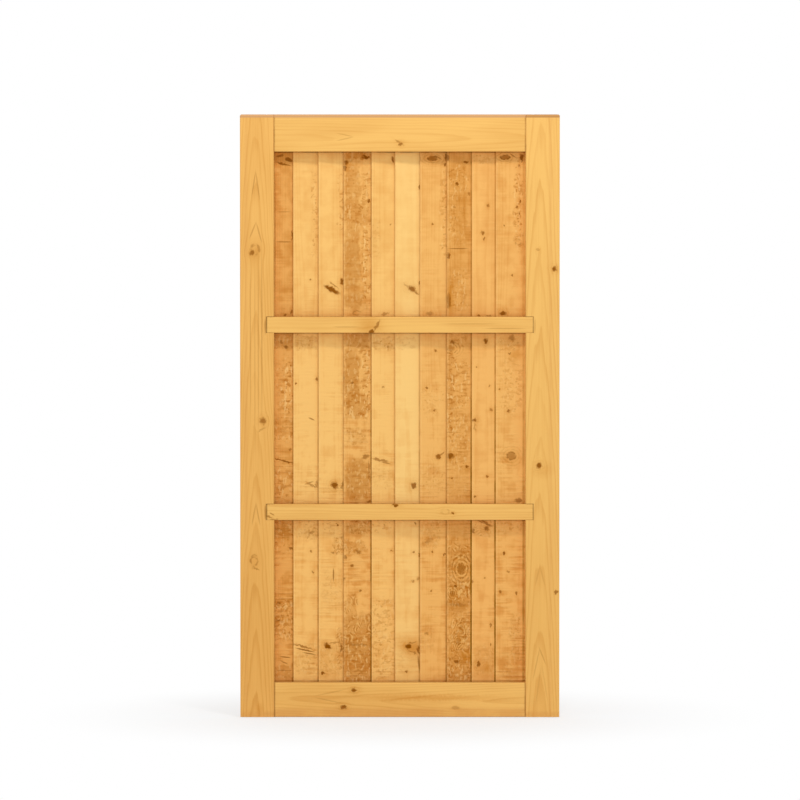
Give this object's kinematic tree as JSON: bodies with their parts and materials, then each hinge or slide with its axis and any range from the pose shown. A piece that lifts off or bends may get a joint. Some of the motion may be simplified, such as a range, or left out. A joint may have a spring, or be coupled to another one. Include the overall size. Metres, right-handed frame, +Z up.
{
  "type": "closeboard garden gate leaf",
  "caption": "Framed garden gate leaf: rebated softwood stiles and rails, notched middle rails and lapped tapered upright boards.",
  "frame": {"origin": "foot of the hanging stile's outer edge, at the middle of its thickness", "axes": "+X across the leaf from the hanging stile to the latch stile, +Y away from the rail side towards the boarded side, +Z up"},
  "size_m": [0.9, 0.045, 1.7],
  "materials": {
    "board_01": "rough-sawn softwood, golden-brown treatment",
    "board_02": "rough-sawn softwood, golden-brown treatment",
    "board_03": "rough-sawn softwood, golden-brown treatment",
    "board_04": "rough-sawn softwood, golden-brown treatment",
    "board_05": "rough-sawn softwood, golden-brown treatment",
    "board_06": "rough-sawn softwood, golden-brown treatment",
    "board_07": "rough-sawn softwood, golden-brown treatment",
    "board_08": "rough-sawn softwood, golden-brown treatment",
    "board_09": "rough-sawn softwood, golden-brown treatment",
    "board_10": "rough-sawn softwood, golden-brown treatment",
    "hanging_stile": "planed softwood, golden-brown treatment, matt",
    "latch_stile": "planed softwood, golden-brown treatment, matt",
    "top_rail": "planed softwood, golden-brown treatment, matt",
    "bottom_rail": "planed softwood, golden-brown treatment, matt",
    "upper_middle_rail": "planed softwood, golden-brown treatment, matt",
    "lower_middle_rail": "planed softwood, golden-brown treatment, matt",
    "nails": "dull galvanised nail heads"
  },
  "bodies": {
    "root": {"hanging_stile": "hanging_stile", "latch_stile": "latch_stile", "top_rail": "top_rail", "bottom_rail": "bottom_rail", "upper_middle_rail": "upper_middle_rail", "lower_middle_rail": "lower_middle_rail", "board_01": "board_01", "board_02": "board_02", "board_03": "board_03", "board_04": "board_04", "board_05": "board_05", "board_06": "board_06", "board_07": "board_07", "board_08": "board_08", "board_09": "board_09", "board_10": "board_10"}
  },
  "joints": []
}
